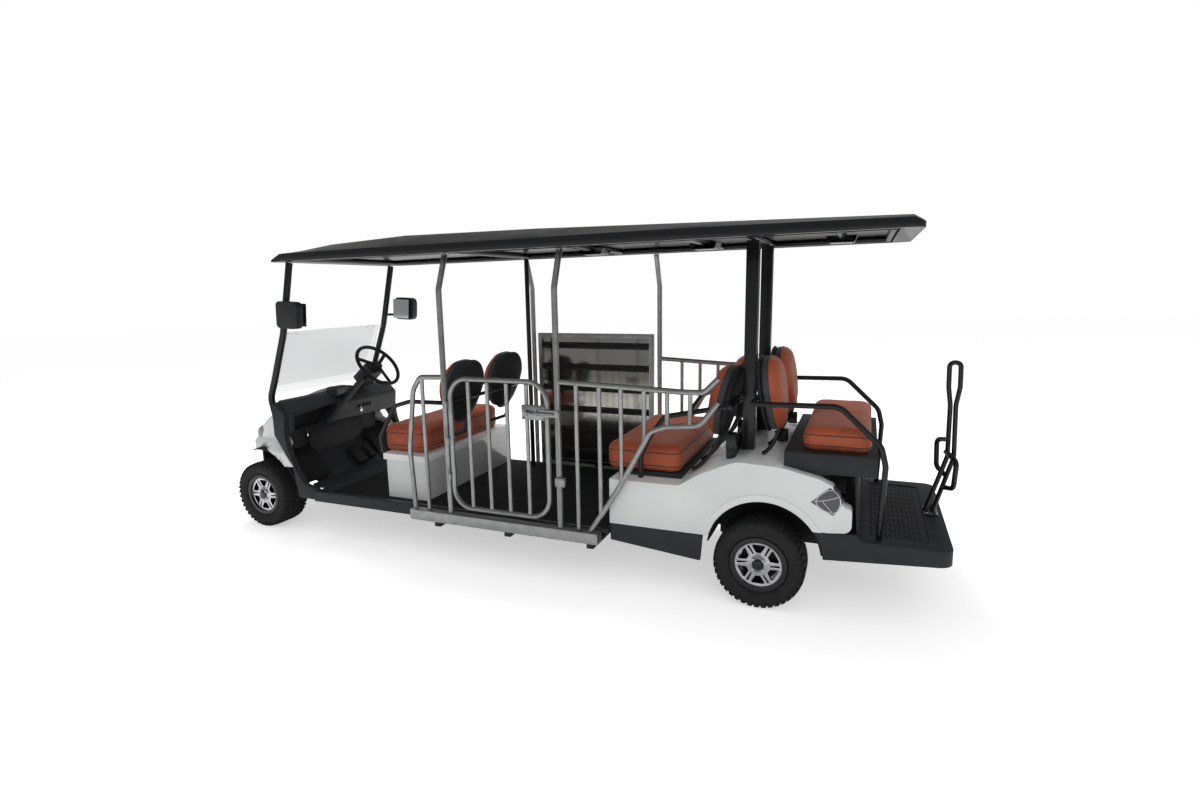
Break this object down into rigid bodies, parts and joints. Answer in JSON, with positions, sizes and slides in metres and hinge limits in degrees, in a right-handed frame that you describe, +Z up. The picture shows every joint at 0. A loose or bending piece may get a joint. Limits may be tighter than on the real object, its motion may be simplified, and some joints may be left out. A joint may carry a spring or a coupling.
{
  "type": "long golf cart",
  "caption": "Long electric golf cart with forward benches, a rear-facing bench, a canopy roof, a side gate and a folding boarding ramp.",
  "frame": {"origin": "on the ground at the middle of the overall box", "axes": "+X to the cart's left, +Y to its rear, +Z up; it drives towards -Y"},
  "size_m": [1.32, 4.8541, 1.9825],
  "materials": {
    "white_body": "gloss moulded panels",
    "black_plastic": "grained moulding",
    "black_gloss": "gloss moulded roof",
    "black_steel": "satin powder coat",
    "frame_steel": "painted frame",
    "axle_steel": "painted castings and tube",
    "bright_alloy": "satin aluminium tube",
    "alloy_wheel": "machined faces over black",
    "tyre_rubber": "matt tread",
    "clear_sheet": "clear sheet",
    "orange_cover": "two-tone covers",
    "lamp_glass": "clear lens over dark housing",
    "mirror_black": "black mirror housing",
    "rubber_pad": "ribbed pads",
    "sealed_block": "plain block"
  },
  "bodies": {
    "cart": {"chassis_frame": "frame_steel", "floor_deck": "black_plastic", "side_skirts": "black_plastic", "headlamps": "lamp_glass", "front_cowl": "white_body", "front_bumper": "black_plastic", "dash_panel": "black_plastic", "pedals": "rubber_pad", "windscreen_lower": "clear_sheet", "mirrors": "mirror_black", "steering_column": "black_plastic", "front_seat_base": "white_body", "front_seat_cushion": "orange_cover", "rear_body": "white_body", "rear_arch_liners": "black_plastic", "tail_lamps": "lamp_glass", "middle_seat_tray": "black_plastic", "middle_seat_cushion": "orange_cover", "aft_seat_base": "black_plastic", "aft_seat_cushion": "orange_cover", "seat_backs": "orange_cover", "seat_back_frames": "black_steel", "armrests": "black_steel", "rear_deck": "black_plastic", "aft_grab_rails": "black_steel", "aft_grab_handle": "black_steel", "roof_canopy": "black_gloss", "roof_frame": "black_steel", "roof_posts": "black_steel", "side_rails_left": "bright_alloy", "side_rails_right": "bright_alloy", "front_axle": "axle_steel", "rear_axle": "axle_steel", "drive_motor": "sealed_block", "battery_pack": "sealed_block"},
    "knuckle_left": {"knuckle_left": "axle_steel"},
    "knuckle_right": {"knuckle_right": "axle_steel"},
    "tie_rod": {"tie_rod": "axle_steel"},
    "steering_wheel": {"steering_wheel": "rubber_pad"},
    "gate": {"gate": "bright_alloy"},
    "ramp": {"ramp": "bright_alloy"},
    "folding_screen": {"windscreen_upper": "clear_sheet"},
    "wheel_front_left": {"tyre_front_left": "tyre_rubber", "rim_front_left": "alloy_wheel"},
    "wheel_front_right": {"tyre_front_right": "tyre_rubber", "rim_front_right": "alloy_wheel"},
    "wheel_rear_left": {"tyre_rear_left": "tyre_rubber", "rim_rear_left": "alloy_wheel"},
    "wheel_rear_right": {"tyre_rear_right": "tyre_rubber", "rim_rear_right": "alloy_wheel"}
  },
  "joints": [
    {"name": "steer_left", "type": "hinge", "parent": "cart", "child": "knuckle_left", "pos_m": [0.368, -1.9875, 0.235], "axis": [0, 0, 1], "range_deg": [-25, 25]},
    {"name": "steer_right", "type": "hinge", "parent": "cart", "child": "knuckle_right", "pos_m": [-0.368, -1.9875, 0.235], "axis": [0, 0, 1], "range_deg": [-25, 25]},
    {"name": "tie_rod_slide", "type": "slide", "parent": "cart", "child": "tie_rod", "axis": [1, 0, 0], "range_m": [-0.04, 0.04]},
    {"name": "steering_wheel_turn", "type": "hinge", "parent": "cart", "child": "steering_wheel", "pos_m": [-0.262, -1.6125, 1.076], "axis": [0, 0.766, 0.6428], "range_deg": [-360, 360]},
    {"name": "front_left_wheel_spin", "type": "hinge", "parent": "knuckle_left", "child": "wheel_front_left", "pos_m": [0.4975, -1.9875, 0.235], "axis": [1, 0, 0], "continuous": true},
    {"name": "front_right_wheel_spin", "type": "hinge", "parent": "knuckle_right", "child": "wheel_front_right", "pos_m": [-0.4975, -1.9875, 0.235], "axis": [1, 0, 0], "continuous": true},
    {"name": "rear_left_wheel_spin", "type": "hinge", "parent": "cart", "child": "wheel_rear_left", "pos_m": [0.4975, 1.4825, 0.235], "axis": [1, 0, 0], "continuous": true},
    {"name": "rear_right_wheel_spin", "type": "hinge", "parent": "cart", "child": "wheel_rear_right", "pos_m": [-0.4975, 1.4825, 0.235], "axis": [1, 0, 0], "continuous": true},
    {"name": "gate_swing", "type": "hinge", "parent": "cart", "child": "gate", "pos_m": [0.64, -0.339, 0.765], "axis": [0, 0, -1], "range_deg": [0, 100]},
    {"name": "ramp_fold", "type": "hinge", "parent": "cart", "child": "ramp", "pos_m": [-0.62, 0.0925, 0.284], "axis": [0, -1, 0], "range_deg": [0, 104]},
    {"name": "screen_fold", "type": "hinge", "parent": "cart", "child": "folding_screen", "pos_m": [0, -1.7325, 1.373], "axis": [-1, 0, 0], "range_deg": [0, 164]}
  ],
  "couplings": [
    {"joint": "steer_right", "follows": "steer_left", "ratio": 1},
    {"joint": "steering_wheel_turn", "follows": "steer_left", "ratio": 14},
    {"joint": "tie_rod_slide", "follows": "steer_left", "m_per_rad": -0.09}
  ]
}
